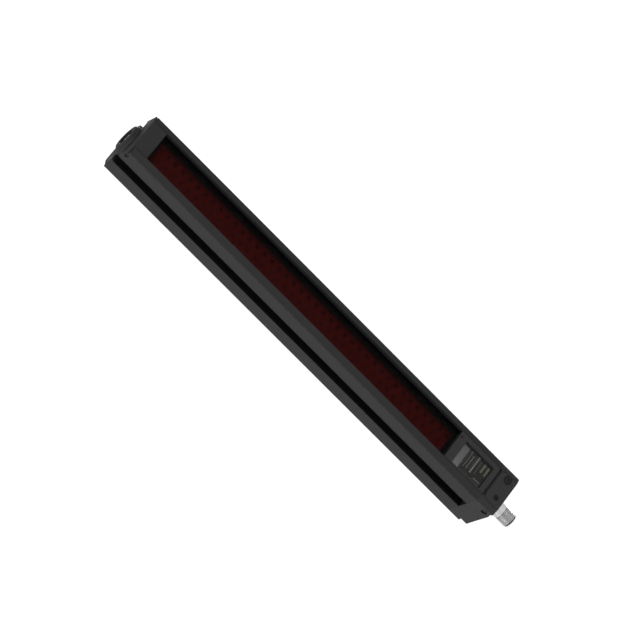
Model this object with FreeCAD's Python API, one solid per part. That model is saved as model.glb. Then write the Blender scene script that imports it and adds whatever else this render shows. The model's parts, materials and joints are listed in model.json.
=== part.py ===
import FreeCAD, Part
import math
import os

V = FreeCAD.Vector

# Safety light curtain bar, 300 mm of protected height, beams 7.5 mm apart. Millimetres.
# The bar stands along Z with its connector down and its optical front facing -Y.
# The origin is on the connector axis, in the end face of the bottom cap.

# Bar
WIDTH = 36.0
DEPTH = 45.2
LENGTH = 372.4
AXIS_DEPTH = 23.1
CHANNEL_WIDTH = 25.1
LAND_FLAT = 0.4
LAND_BEVEL = 2.2
FRONT_CORNER_RADIUS = 1.2
REAR_CORNER_RADIUS = 2.0

# Housing section
LEDGE_DEPTH = 8.0
CAVITY_WIDTH = 19.8
REAR_WALL = 2.7
WINDOW_GROOVE = 1.35
CAVITY_CORNER_RADIUS = 1.5
SLOT_MOUTH = 11.8
SLOT_CAVITY = 14.6
SLOT_DEPTH = 6.3
SLOT_LIP = 1.4
SCREW_SPACING = 28.0
FRONT_SCREW_DEPTH = 11.2
REAR_SCREW_DEPTH = 36.5
SCREW_RADIUS = 1.5
THREAD_CLEARANCE = 0.05
GROOVE_BITE = 0.8

# Ends
BOTTOM_CAP_HEIGHT = 16.1
GASKET_THICKNESS = 0.5
GASKET_WIDTH = 1.2
TOP_PLATE = 1.5
TOP_BLOCK_HEIGHT = 13.1
EAR_DEPTH = 10.5
EAR_GAP = 0.5
EAR_NOTCH = 2.2
EAR_NOTCH_WIDTH = 4.2
EAR_NOTCH_SINK = 1.0
FRONT_SEAM = 0.6
CORNER_CUT_WIDTH = 5.7
CORNER_CUT_DEPTH = 5.3
CORNER_CUT_HEIGHT = 5.5
SPIGOT_HEIGHT = 2.0
TOP_SPIGOT_HEIGHT = 4.0
SPIGOT_SETBACK = 6.0
SPIGOT_WALL = 1.6
RIB_THICKNESS = 2.0
PIVOT_POST_WIDTH = 8.0
PIVOT_POST_DROP = 4.0
PIVOT_POST_FLOOR = 1.0
END_WALL = 4.0
FRONT_WALL = 4.6

# The two screws of the face plate: x, z, head radius, shank radius
FACE_SCREWS = ((9.7, 7.3, 3.1, 1.5), (-6.9, 6.7, 2.2, 1.0))
FACE_SCREW_LENGTH = 6.0
FACE_SCREW_HEAD = 0.9
SMALL_SCREW_SEAT = 1.2
LARGE_SCREW_SEAT = 0.5
SEAT_MARGIN = 0.35
FACE_PLATE = 2.4
PLATE_RADIUS = 3.5
PLATE_GAP = 0.35
PLATE_OVERLAP = 0.8
PLATE_DROP = 1.1
COUNTERSINK_RADIUS = 2.7
COUNTERSINK_DEPTH = 1.35
HEAD_SIDES = 16
THREAD_ENGAGEMENT = 12.0

# Bracket catches in the sides of the bottom cap, as (depth, height) corners
LATCH_POCKET = ((2.4, 4.6), (8.6, 2.2), (10.6, 4.4), (10.2, 6.9), (6.4, 7.5), (5.4, 6.1), (2.4, 6.1))
LATCH_SINK = 1.2
FOOT_NEAR = 2.8
FOOT_FAR = 8.2
FOOT_STEP = 1.1

# Window and beams
PANEL_HEIGHT = 40.1
WINDOW_SETBACK = 4.2
WINDOW_THICKNESS = 3.0
WINDOW_MARGIN = 2.4
GASKET_OPENING = 18.3
BEAM_PITCH = 7.5
ROW_SPACING = 7.5
MASK_THICKNESS = 0.5
MASK_HOLE = 3.2
LENS_SIZE = 4.8
LENS_RISE = 0.7
LENS_PLATE = 1.3
TUNNEL_SIZE = 4.4
EMITTER_SIZE = 3.0
CARRIER_LENGTH = 12.0
BOARD_THICKNESS = 1.6
BEAM_BOARD_DEPTH = 24.0
CONTROL_BOARD_DEPTH = 31.2
CONTROL_BOARD_LENGTH = 131.0
LINK_HEIGHT = 5.0
LINK_WIDTH = 12.0
STANDOFF_SIZE = 5.0
STANDOFF_SPACING = 12.0

# Components on the control board: width, thickness, height, offset, share of the board's length
COMPONENTS = ((10.0, 1.4, 10.0, 0.0, 0.46), (13.0, 4.2, 14.0, 0.0, 0.61), (6.0, 2.6, 10.0, -4.5, 0.76),
              (6.0, 2.6, 10.0, 4.5, 0.76), (6.0, 4.5, 6.0, -4.5, 0.88), (6.0, 4.5, 6.0, 4.5, 0.88))

# Display panel
RECESS_LEFT = -11.5
RECESS_RIGHT = 8.8
RECESS_RISE = 4.9
RECESS_HEIGHT = 28.1
PANEL_RECESS_RADIUS = 1.2
PANE_FRONT = 2.2
PANE_THICKNESS = 0.5
OVERLAY_THICKNESS = 0.3
RECESS_WALL = 0.9
RIM_FOOT = 1.4
RIM_TOP = 1.1
BOARD_LIFT = 0.5
CARRIER_WALL = 0.3
CARRIER_FOOT = 0.9
CARRIER_TOP = 0.2
CUTOUT_MARGIN = 0.9
CUTOUT_TOP = 0.6
DISPLAY_LEFT = -10.2
DISPLAY_RIGHT = 8.0
DISPLAY_HEIGHT = 5.4
DISPLAY_RISE = 26.8
BAR_LEFT = -0.3
BAR_RIGHT = 7.2
BAR_HEIGHT = 1.5
BAR_RISES = (9.6, 5.9)
ZONE_COUNT = 8
ZONE_PITCH = 1.85
ZONE_SIZE = 0.9
ZONE_HEIGHT = 1.35
ZONE_RISE = 16.4
ZONE_OFFSET = 1.0
PANEL_BOARD_DEPTH = 11.0
STATUS_RADIUS = 0.75
STATUS_OFFSET = 8.4
STATUS_DROP = 1.9

# Connector
CONNECTOR_RADIUS = 6.0
CONNECTOR_LENGTH = 20.2
THREAD_LENGTH = 10.2
THREAD_CHAMFER = 0.7
COLLAR_RADIUS = 5.75
HEX_FLATS = 14.0
HEX_HEIGHT = 3.0
SOCKET_RADIUS = 4.6
SOCKET_DEPTH = 9.0
SHANK_LENGTH = 8.0
NUT_FLATS = 15.0
NUT_HEIGHT = 3.0
PIN_RADIUS = 0.4
PIN_CIRCLE_RADIUS = 2.75
PIN_COUNT = 4
PIN_TIP = 2.0

CONNECTOR_BOARD_GAP = 1.5
CONNECTOR_BOARD_WIDTH = 15.0
HEADER_WIDTH = 12.0
BOARD_OVERHANG = 1.0

# Bracket holes and pivot boss
BRACKET_SPACING = 25.0
BRACKET_HOLE_RADIUS = 2.1
BRACKET_HOLE_DEPTH = 9.0
POST_WALL = 1.5
FLANGE_RADIUS = 11.9
FLANGE_HEIGHT = 2.1
BOSS_RADIUS = 10.6
BOSS_HEIGHT = 3.8
BOSS_CHAMFER = 0.6
RECESS_RADIUS = 6.4
RECESS_FLOOR = 0.8
PIVOT_SCREW_LENGTH = 8.0
PIVOT_HEAD_RADIUS = 2.8
PIVOT_HEAD_HEIGHT = 2.0

FIT = 0.2

HALF = WIDTH / 2
CHANNEL = CHANNEL_WIDTH / 2
CAVITY = CAVITY_WIDTH / 2
GROOVE = CHANNEL + WINDOW_GROOVE
HOUSING_LOW = BOTTOM_CAP_HEIGHT
HOUSING_HIGH = LENGTH - TOP_PLATE
PANEL_LOW = HOUSING_LOW + FIT
PANEL_HIGH = HOUSING_LOW + PANEL_HEIGHT
WINDOW_LOW = PANEL_HIGH + FIT
BLOCK_LOW = LENGTH - TOP_BLOCK_HEIGHT
WINDOW_HIGH = BLOCK_LOW - FIT
WINDOW_BACK = WINDOW_SETBACK + WINDOW_THICKNESS
OPTICS_LOW = WINDOW_LOW + WINDOW_MARGIN + FIT
OPTICS_HIGH = WINDOW_HIGH - WINDOW_MARGIN - FIT
BEAM_COUNT = int((OPTICS_HIGH - OPTICS_LOW - LENS_SIZE) // BEAM_PITCH) + 1
CAVITY_BACK = DEPTH - REAR_WALL
LENS_BACK = LEDGE_DEPTH + LENS_RISE + LENS_PLATE
CARRIER_BACK = LENS_BACK + CARRIER_LENGTH
PANE_BACK = PANE_FRONT + PANE_THICKNESS
OVERLAY_BACK = PANE_BACK + OVERLAY_THICKNESS
BEZEL_PLATE = OVERLAY_BACK + RECESS_WALL
RECESS_LOW = HOUSING_LOW + RECESS_RISE
RECESS_HIGH = RECESS_LOW + RECESS_HEIGHT
CUT_CLEAR = 1.0


def back(depth):
    """Y of a plane that lies this far behind the front of the bar."""
    return depth - AXIS_DEPTH


def rounded_face(corners, z):
    """Face at height z with corners (x, y, radius), each rounded corner a tangent arc."""
    points = [V(x, y, z) for x, y, _ in corners]
    stretches = []
    for i, (_, _, radius) in enumerate(corners):
        corner = points[i]
        before = (points[i - 1] - corner).normalize()
        after = (points[(i + 1) % len(points)] - corner).normalize()
        half = before.getAngle(after) / 2
        reach = radius / math.tan(half)
        inward = (before + after).normalize()
        middle = corner + inward * (radius / math.sin(half) - radius)
        stretches.append((corner + before * reach, middle, corner + after * reach))
    edges = []
    for i, (start, middle, end) in enumerate(stretches):
        if corners[i][2] > 0:
            edges.append(Part.Arc(start, middle, end).toShape())
        following = stretches[(i + 1) % len(stretches)][0]
        edges.append(Part.LineSegment(end, following).toShape())
    return Part.Face(Part.Wire(edges))


def prism(corners, low, high):
    """Solid on rounded corners in X and Y, from height low to height high."""
    return rounded_face(corners, low).extrude(V(0, 0, high - low))


def slab(corners, near, far):
    """Solid on rounded corners in X and Z, from depth near to depth far behind the front."""
    solid = prism(corners, -back(far), -back(near))
    return solid.rotate(V(0, 0, 0), V(1, 0, 0), 90)


def rectangle(left, right, low, high, radius=0.0):
    return [(left, low, radius), (right, low, radius), (right, high, radius), (left, high, radius)]


def block(half_width, near, far, low, high, radius=0.0):
    """Slab that is centred on the bar, with its rounding seen from the front."""
    return slab(rectangle(-half_width, half_width, low, high, radius), near, far)


def shaft(radius, low, high, x=0.0, y=0.0):
    return Part.makeCylinder(radius, high - low, V(x, y, low))


def ring(radius, z, x, y, sides):
    corners = [math.radians(360 / sides * (i + 0.5)) for i in range(sides)]
    return [V(x + radius * math.cos(a), y + radius * math.sin(a), z) for a in corners]


def flat_face(points):
    return Part.Face(Part.makePolygon(points + points[:1]))


def rod(radius, low, high, x=0.0, y=0.0):
    """Eight-sided prism inside this radius, for a screw thread or a pin that repeats."""
    return flat_face(ring(radius, low, x, y, 8)).extrude(V(0, 0, high - low))


def faceted_cone(radii, heights, x, y):
    """Frustum with flat sides between two radii at two heights, for a screw head that repeats."""
    lower, upper = (ring(radius, z, x, y, HEAD_SIDES) for z, radius in sorted(zip(heights, radii)))
    sides = [flat_face([lower[i - 1], lower[i], upper[i], upper[i - 1]]) for i in range(HEAD_SIDES)]
    return Part.makeSolid(Part.makeShell(sides + [flat_face(lower), flat_face(upper)]))


def peg(radius, near, far, x, z):
    """Cylinder along the depth of the bar."""
    return Part.makeCylinder(radius, far - near, V(x, back(near), z), V(0, 1, 0))


def hexagon(flats, low, high):
    radius, angles = flats / math.sqrt(3), [math.radians(60 * i) for i in range(6)]
    return prism([(radius * math.cos(a), radius * math.sin(a), 0) for a in angles], low, high)


def turned(profile):
    """Solid of revolution about the connector axis from (radius, z) points."""
    wire = Part.makePolygon([V(r, 0, z) for r, z in profile + profile[:1]])
    return Part.Face(wire).revolve(V(0, 0, 0), V(0, 0, 1), 360)


def both_sides(shape):
    return [shape, shape.mirror(V(0, 0, 0), V(1, 0, 0))]


def group(solids):
    return Part.makeCompound(solids)


def bar_outline(inset=0.0):
    """Outer section of the bar: bevelled lands in front, rounded corners behind."""
    land = CHANNEL + LAND_FLAT
    front, rear, side = back(inset), back(DEPTH - inset), HALF - inset
    shoulder = back(LAND_BEVEL + inset)
    return [(-land, front, 0), (land, front, 0), (side, shoulder, FRONT_CORNER_RADIUS),
            (side, rear, REAR_CORNER_RADIUS), (-side, rear, REAR_CORNER_RADIUS),
            (-side, shoulder, FRONT_CORNER_RADIUS)]


def slot_shapes(low, high):
    """Both T-slots: the mouth in the side and the wider cavity behind its lips."""
    mouth = rectangle(HALF - SLOT_DEPTH, HALF + CUT_CLEAR, -SLOT_MOUTH / 2, SLOT_MOUTH / 2)
    cavity = rectangle(HALF - SLOT_DEPTH, HALF - SLOT_LIP, -SLOT_CAVITY / 2, SLOT_CAVITY / 2)
    return both_sides(prism(mouth, low, high)) + both_sides(prism(cavity, low, high))


def channel_shapes(low, high):
    """Front channel, and the wider groove that holds the window, the panel and the top cap."""
    channel = prism(rectangle(-CHANNEL, CHANNEL, back(-CUT_CLEAR), back(LEDGE_DEPTH)), low, high)
    groove = prism(rectangle(-GROOVE, GROOVE, back(WINDOW_SETBACK), back(LEDGE_DEPTH)), low, high)
    return [channel, groove]


def cavity_shape(low, high, near=LEDGE_DEPTH):
    corners = [(-CAVITY, back(near), 0), (CAVITY, back(near), 0),
               (CAVITY, back(CAVITY_BACK), CAVITY_CORNER_RADIUS),
               (-CAVITY, back(CAVITY_BACK), CAVITY_CORNER_RADIUS)]
    return prism(corners, low, high)


def groove_shape(depth, low, high):
    """Pair of grooves in the cavity walls that a circuit board slides into."""
    half = CAVITY + GROOVE_BITE
    near, far = back(depth - FIT / 2), back(depth + BOARD_THICKNESS + FIT / 2)
    return prism(rectangle(-half, half, near, far), low, high)


def screw_places():
    return [(side * SCREW_SPACING / 2, back(depth))
            for side in (-1, 1) for depth in (FRONT_SCREW_DEPTH, REAR_SCREW_DEPTH)]


def screw_holes(low, high, clearance=THREAD_CLEARANCE):
    return [shaft(SCREW_RADIUS + clearance, low, high, x, y) for x, y in screw_places()]


def rear_corner_cuts(low, high):
    """Wedges that bevel the two rear corners of an end, where a bracket registers."""
    x, y = HALF - CORNER_CUT_WIDTH, back(DEPTH - CORNER_CUT_DEPTH)
    reach = max(CORNER_CUT_WIDTH, CORNER_CUT_DEPTH)
    wedge = [(HALF, y, 0), (HALF + reach, y, 0), (HALF + reach, back(DEPTH) + reach, 0),
             (x, back(DEPTH) + reach, 0), (x, back(DEPTH), 0)]
    return both_sides(prism(wedge, low, high))


def housing_extrusion():
    low, high = HOUSING_LOW, HOUSING_HIGH
    over, under = high + CUT_CLEAR, low - CUT_CLEAR
    body = prism(bar_outline(), low, high)
    cuts = slot_shapes(under, over) + channel_shapes(under, over) + [cavity_shape(under, over)]
    cuts += [groove_shape(BEAM_BOARD_DEPTH, under, over), groove_shape(CONTROL_BOARD_DEPTH, under, over)]
    notch = rectangle(HALF - EAR_NOTCH_SINK, HALF + CUT_CLEAR,
                      back(EAR_DEPTH - EAR_NOTCH_WIDTH), back(EAR_DEPTH))
    cuts += both_sides(prism(notch, high - EAR_NOTCH, over))
    return body.cut(cuts + screw_holes(under, over))


def front_window():
    return block(GROOVE - FIT, WINDOW_SETBACK, WINDOW_BACK, WINDOW_LOW, WINDOW_HIGH)


def window_gasket():
    outer = block(GROOVE - FIT, WINDOW_BACK, LEDGE_DEPTH, WINDOW_LOW, WINDOW_HIGH)
    inner = block(GASKET_OPENING / 2, WINDOW_BACK - CUT_CLEAR, LEDGE_DEPTH + CUT_CLEAR,
                  WINDOW_LOW + WINDOW_MARGIN, WINDOW_HIGH - WINDOW_MARGIN)
    return outer.cut(inner)


def beam_places():
    """Centres (x, z) of the beams: one row beside the middle, centred in the window."""
    middle = (WINDOW_LOW + WINDOW_HIGH) / 2
    return [(ROW_SPACING / 2, middle + (i - (BEAM_COUNT - 1) / 2) * BEAM_PITCH) for i in range(BEAM_COUNT)]


def squares(places, size, near, far):
    """Square prisms of this size along the depth of the bar, one at each place (x, z)."""
    half = size / 2
    return [slab(rectangle(x - half, x + half, z - half, z + half), near, far) for x, z in places]


def aperture_mask():
    near = WINDOW_BACK + FIT
    strip = block(GASKET_OPENING / 2 - FIT, near, near + MASK_THICKNESS, OPTICS_LOW, OPTICS_HIGH)
    return strip.cut(squares(beam_places(), MASK_HOLE, near - CUT_CLEAR, near + MASK_THICKNESS + CUT_CLEAR))


def lens_strip():
    plate = block(CAVITY - FIT, LEDGE_DEPTH + LENS_RISE, LENS_BACK, OPTICS_LOW, OPTICS_HIGH)
    return plate.fuse(squares(beam_places(), LENS_SIZE, LEDGE_DEPTH, LENS_BACK))


def optics_carrier():
    rail = block(CAVITY - FIT, LENS_BACK, CARRIER_BACK, OPTICS_LOW, OPTICS_HIGH)
    return rail.cut(squares(beam_places(), TUNNEL_SIZE, LENS_BACK - CUT_CLEAR, CARRIER_BACK + CUT_CLEAR))


def beam_board():
    return block(CAVITY + GROOVE_BITE - FIT / 2, BEAM_BOARD_DEPTH, BEAM_BOARD_DEPTH + BOARD_THICKNESS,
                 OPTICS_LOW, OPTICS_HIGH)


def beam_emitters():
    """Infrared diodes on the beam board, one behind each tunnel."""
    return group(squares(beam_places(), EMITTER_SIZE, CARRIER_BACK + FIT, BEAM_BOARD_DEPTH))


def control_board():
    low = HOUSING_LOW + SPIGOT_HEIGHT
    return block(CAVITY + GROOVE_BITE - FIT / 2, CONTROL_BOARD_DEPTH, CONTROL_BOARD_DEPTH + BOARD_THICKNESS,
                 low, low + CONTROL_BOARD_LENGTH)


def control_components():
    """Processor, transformer, two output switches and two capacitors on the control board."""
    base, face = HOUSING_LOW + SPIGOT_HEIGHT, CONTROL_BOARD_DEPTH
    chips = []
    for width, thickness, height, offset, share in COMPONENTS:
        low = base + share * CONTROL_BOARD_LENGTH - height / 2
        outline = rectangle(offset - width / 2, offset + width / 2, low, low + height)
        chips.append(slab(outline, face - thickness, face))
    return group(chips)


def board_link():
    """Plug strip that joins the beam board to the control board."""
    return block(LINK_WIDTH / 2, BEAM_BOARD_DEPTH + BOARD_THICKNESS, CONTROL_BOARD_DEPTH,
                 OPTICS_LOW, OPTICS_LOW + LINK_HEIGHT)


def recess_shape(near, far, margin=0.0):
    """The recess of the panel, or what lies in it with this margin around it."""
    corners = rectangle(RECESS_LEFT + margin, RECESS_RIGHT - margin, RECESS_LOW + margin, RECESS_HIGH - margin,
                        PANEL_RECESS_RADIUS)
    return slab(corners, near, far)


def status_place():
    return STATUS_OFFSET, PANEL_HIGH - STATUS_DROP


def display_bezel():
    """Flush front panel: a plate with a recess for the legend and a rim that seats on its gasket."""
    gasket_front = LEDGE_DEPTH - GASKET_THICKNESS
    plate = block(CHANNEL - FIT, 0, gasket_front, PANEL_LOW + FRONT_SEAM, PANEL_HIGH)
    body = plate.fuse(block(GROOVE - FIT, WINDOW_SETBACK, gasket_front, PANEL_LOW, PANEL_HIGH))
    hollow = block(CAVITY + FIT, BEZEL_PLATE, gasket_front + CUT_CLEAR,
                   PANEL_LOW + RIM_FOOT, PANEL_HIGH - RIM_TOP)
    cutout = slab(rectangle(DISPLAY_LEFT + CUTOUT_MARGIN, DISPLAY_RIGHT + FIT, RECESS_LOW + CUTOUT_MARGIN,
                            RECESS_HIGH - CUTOUT_TOP), 0, BEZEL_PLATE + CUT_CLEAR)
    x, z = status_place()
    return body.cut([hollow, recess_shape(-CUT_CLEAR, OVERLAY_BACK), cutout,
                     peg(STATUS_RADIUS + THREAD_CLEARANCE, -CUT_CLEAR, BEZEL_PLATE + CUT_CLEAR, x, z)])


def bezel_gasket():
    near = LEDGE_DEPTH - GASKET_THICKNESS
    outer = block(GROOVE - FIT, near, LEDGE_DEPTH, PANEL_LOW, PANEL_HIGH)
    inner = block(CAVITY, near - CUT_CLEAR, LEDGE_DEPTH + CUT_CLEAR,
                  PANEL_LOW + RIM_FOOT, PANEL_HIGH - RIM_TOP)
    return outer.cut(inner)


def display_pane():
    return recess_shape(PANE_FRONT, PANE_BACK, THREAD_CLEARANCE)


def bar_shapes(near, far, margin=0.0):
    """The two light bars of the display, or their cut-outs."""
    left, right = BAR_LEFT - margin, BAR_RIGHT + margin
    return [slab(rectangle(left, right, HOUSING_LOW + rise - margin, HOUSING_LOW + rise + BAR_HEIGHT + margin),
                 near, far) for rise in BAR_RISES]


def zone_shapes(near, far, margin=0.0):
    """The row of small zone lamps of the display, or their cut-outs."""
    half, low = ZONE_SIZE / 2 + margin, HOUSING_LOW + ZONE_RISE - margin
    middles = [ZONE_OFFSET + (i - (ZONE_COUNT - 1) / 2) * ZONE_PITCH for i in range(ZONE_COUNT)]
    high = low + ZONE_HEIGHT + 2 * margin
    return [slab(rectangle(x - half, x + half, low, high), near, far) for x in middles]


def display_shape(near, far, left, margin=0.0):
    low = HOUSING_LOW + DISPLAY_RISE - margin
    outline = rectangle(left - margin, DISPLAY_RIGHT + margin, low, low + DISPLAY_HEIGHT + 2 * margin)
    return slab(outline, near, far)


def panel_overlay():
    sheet = recess_shape(PANE_BACK, OVERLAY_BACK, THREAD_CLEARANCE)
    near, far = PANE_BACK - CUT_CLEAR, OVERLAY_BACK + CUT_CLEAR
    lamps = bar_shapes(near, far, THREAD_CLEARANCE) + zone_shapes(near, far, THREAD_CLEARANCE)
    return sheet.cut(lamps + [display_shape(near, far, DISPLAY_LEFT, THREAD_CLEARANCE)])


def display_module():
    """Display with a face that is wider than its body behind the bezel."""
    face = display_shape(PANE_BACK + THREAD_CLEARANCE, OVERLAY_BACK, DISPLAY_LEFT)
    return face.fuse(display_shape(OVERLAY_BACK, PANEL_BOARD_DEPTH, DISPLAY_LEFT + CUTOUT_MARGIN + FIT))


def light_bars():
    return group(bar_shapes(PANE_BACK + THREAD_CLEARANCE, PANEL_BOARD_DEPTH))


def zone_lamps():
    return group(zone_shapes(PANE_BACK + THREAD_CLEARANCE, PANEL_BOARD_DEPTH))


def panel_board_span():
    """Lowest and highest point of the panel board and its carrier, inside the rim of the bezel."""
    return PANEL_LOW + RIM_FOOT + BOARD_LIFT, PANEL_HIGH - RIM_TOP - FIT


def display_carrier():
    """Moulded frame between the overlay and the panel board."""
    low, high = panel_board_span()
    outer = block(CAVITY - FIT / 2, BEZEL_PLATE, PANEL_BOARD_DEPTH, low, high)
    inner = block(CAVITY - FIT / 2 - CARRIER_WALL, BEZEL_PLATE - CUT_CLEAR, PANEL_BOARD_DEPTH + CUT_CLEAR,
                  low + CARRIER_FOOT, high - CARRIER_TOP)
    return outer.cut([inner] + squares([status_place()], 2 * STATUS_RADIUS + FIT, 0, PANEL_BOARD_DEPTH))


def panel_board():
    return block(CAVITY - FIT, PANEL_BOARD_DEPTH, PANEL_BOARD_DEPTH + BOARD_THICKNESS, *panel_board_span())


def status_light_pipe():
    x, z = status_place()
    return peg(STATUS_RADIUS, 0, PANEL_BOARD_DEPTH, x, z)


def board_standoffs():
    """Moulded spacers between the panel board and the control board."""
    z = (PANEL_LOW + PANEL_HIGH) / 2
    return group(squares([(side * STANDOFF_SPACING / 2, z) for side in (-1, 1)], STANDOFF_SIZE,
                         PANEL_BOARD_DEPTH + BOARD_THICKNESS, CONTROL_BOARD_DEPTH))


def plate_outline():
    """Half the width and the height of the seat of the bottom cap's face plate."""
    return CHANNEL + PLATE_OVERLAP, BOTTOM_CAP_HEIGHT - PLATE_DROP


def hollow_half():
    return CAVITY - FIT - SPIGOT_WALL


def spigot_outline(inset, near):
    """Section of the spigot that centres an end cap in the cavity, inset from its walls."""
    half, far, bevel = CAVITY - inset, back(CAVITY_BACK - inset), CAVITY_CORNER_RADIUS
    return [(-half, back(near), 0), (half, back(near), 0), (half, far - bevel, 0), (half - bevel, far, 0),
            (bevel - half, far, 0), (-half, far - bevel, 0)]


def side_pocket(outline, sink):
    """Cutter that sinks an outline of (depth, height) points into the right side of the bar."""
    points = [V(HALF - sink, back(depth), height) for depth, height in outline]
    return Part.Face(Part.makePolygon(points + points[:1])).extrude(V(sink + CUT_CLEAR, 0, 0))


def bracket_post(y, margin):
    """Square post around a bracket hole, or its clearance."""
    half = BRACKET_HOLE_RADIUS + POST_WALL + margin
    return prism(rectangle(-half, half, y - half, y + half), 0, BRACKET_HOLE_DEPTH + POST_WALL + margin)


def bottom_end_cap():
    over = BOTTOM_CAP_HEIGHT + SPIGOT_HEIGHT + CUT_CLEAR
    body = prism(bar_outline(), 0, BOTTOM_CAP_HEIGHT)
    spigot = prism(spigot_outline(FIT, LEDGE_DEPTH + SPIGOT_SETBACK), BOTTOM_CAP_HEIGHT - CUT_CLEAR,
                   HOUSING_LOW + SPIGOT_HEIGHT - FIT)
    room = prism(spigot_outline(FIT + SPIGOT_WALL, FRONT_WALL), END_WALL, over)
    seal = prism(gasket_outline(GASKET_WIDTH + FIT / 2), BOTTOM_CAP_HEIGHT - GASKET_THICKNESS, over).cut(
        cavity_shape(0, over + CUT_CLEAR, LEDGE_DEPTH + GASKET_WIDTH + FIT / 2))
    posts = [bracket_post(y, 0.0) for y in (-BRACKET_SPACING / 2, BRACKET_SPACING / 2)]
    half, high = plate_outline()
    plate_seat = slab([(-half, -CUT_CLEAR, 0), (half, -CUT_CLEAR, 0), (half, high, PLATE_RADIUS),
                       (-half, high, PLATE_RADIUS)], -CUT_CLEAR, FACE_PLATE)
    seam = block(CHANNEL, -CUT_CLEAR, FACE_PLATE, BOTTOM_CAP_HEIGHT - FRONT_SEAM, over)
    cuts = [plate_seat, seam, shaft(CONNECTOR_RADIUS + THREAD_CLEARANCE, -CUT_CLEAR, over)]
    cuts += [shaft(BRACKET_HOLE_RADIUS, -CUT_CLEAR, BRACKET_HOLE_DEPTH, 0, y)
             for y in (-BRACKET_SPACING / 2, BRACKET_SPACING / 2)]
    cuts += screw_holes(-CUT_CLEAR, over) + countersunk_heads(0, 1, THREAD_CLEARANCE)
    depth = FACE_SCREW_LENGTH + FIT
    cuts += [peg(shank + THREAD_CLEARANCE, 0, depth, x, z) for x, z, _, shank in FACE_SCREWS]
    cuts += rear_corner_cuts(-CUT_CLEAR, CORNER_CUT_HEIGHT)
    notch = ((FOOT_NEAR, -CUT_CLEAR), (FOOT_FAR, -CUT_CLEAR), (FOOT_FAR, FOOT_STEP), (FOOT_NEAR, FOOT_STEP))
    cuts += both_sides(side_pocket(LATCH_POCKET, LATCH_SINK)) + both_sides(side_pocket(notch, LATCH_SINK))
    return body.cut(seal).fuse(spigot).cut(room).fuse(posts).cut(cuts)


def cap_face_plate():
    half, high = plate_outline()
    half, high = half - PLATE_GAP, high - PLATE_GAP
    outline = [(-half, 0, 0), (half, 0, 0), (half, high, PLATE_RADIUS), (-half, high, PLATE_RADIUS)]
    plate = slab(outline, 0, FACE_PLATE)
    (x1, z1, head1, shank1), (x2, z2, head2, shank2) = FACE_SCREWS
    return plate.cut([peg(shank1 + THREAD_CLEARANCE, -CUT_CLEAR, FACE_PLATE + CUT_CLEAR, x1, z1),
                      peg(shank2 + THREAD_CLEARANCE, -CUT_CLEAR, FACE_PLATE + CUT_CLEAR, x2, z2),
                      peg(head1 + SEAT_MARGIN, -CUT_CLEAR, LARGE_SCREW_SEAT, x1, z1),
                      peg(head2 + THREAD_CLEARANCE, -CUT_CLEAR, SMALL_SCREW_SEAT, x2, z2)])


def cap_face_screws():
    (x1, z1, head1, shank1), (x2, z2, head2, shank2) = FACE_SCREWS
    large = peg(head1, -FACE_SCREW_HEAD, LARGE_SCREW_SEAT, x1, z1).fuse(
        squares([(x1, z1)], shank1, LARGE_SCREW_SEAT, FACE_SCREW_LENGTH))
    small = peg(head2, FIT, SMALL_SCREW_SEAT, x2, z2).fuse(
        squares([(x2, z2)], shank2, SMALL_SCREW_SEAT, FACE_SCREW_LENGTH))
    return group([large, small])


def gasket_outline(grow):
    """Seal path of both ends: around the cavity, grow wider than its walls."""
    half = CAVITY + grow
    return rectangle(-half, half, back(LEDGE_DEPTH), back(CAVITY_BACK) + grow)


def end_gasket(low):
    """Flat seal in its recess: three sides follow the cavity, the front stays behind the ledge."""
    high = low + GASKET_THICKNESS
    return prism(gasket_outline(GASKET_WIDTH), low, high).cut(
        cavity_shape(low - CUT_CLEAR, high + CUT_CLEAR, LEDGE_DEPTH + GASKET_WIDTH))


def bottom_cap_gasket():
    return end_gasket(BOTTOM_CAP_HEIGHT - GASKET_THICKNESS)


def countersunk_heads(end, inward, margin=0.0):
    """Heads of an end cap's screws, flush with the end at this height, or their wider seats."""
    radii = COUNTERSINK_RADIUS + margin, SCREW_RADIUS + margin
    heights = end, end + inward * COUNTERSINK_DEPTH
    return [faceted_cone(radii, heights, x, y) for x, y in screw_places()]


def cap_screws(heads, low, high):
    """The four screws of an end cap, each a head on a plain shank."""
    shanks = [rod(SCREW_RADIUS, low, high, x, y) for x, y in screw_places()]
    return group([head.fuse(shank) for head, shank in zip(heads, shanks)])


def bottom_cap_screws():
    return cap_screws(countersunk_heads(0, 1), COUNTERSINK_DEPTH, BOTTOM_CAP_HEIGHT + THREAD_ENGAGEMENT)


def connector_shell():
    thread_top = THREAD_LENGTH - CONNECTOR_LENGTH
    outside = turned([(0, -CONNECTOR_LENGTH), (CONNECTOR_RADIUS - THREAD_CHAMFER, -CONNECTOR_LENGTH),
                      (CONNECTOR_RADIUS, -CONNECTOR_LENGTH + THREAD_CHAMFER), (CONNECTOR_RADIUS, thread_top),
                      (COLLAR_RADIUS, thread_top), (COLLAR_RADIUS, 0),
                      (CONNECTOR_RADIUS, 0), (CONNECTOR_RADIUS, SHANK_LENGTH), (0, SHANK_LENGTH)])
    hexagonal = hexagon(HEX_FLATS, -HEX_HEIGHT, 0)
    mouth = shaft(SOCKET_RADIUS, -CONNECTOR_LENGTH - CUT_CLEAR, SHANK_LENGTH + CUT_CLEAR)
    return outside.fuse(hexagonal).cut(mouth)


def connector_insert():
    floor = SOCKET_DEPTH - CONNECTOR_LENGTH
    core = shaft(SOCKET_RADIUS - THREAD_CLEARANCE, floor, SHANK_LENGTH)
    return core.cut([rod(PIN_RADIUS + THREAD_CLEARANCE, floor - CUT_CLEAR, SHANK_LENGTH + CUT_CLEAR, x, y)
                     for x, y in pin_places()])


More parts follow.
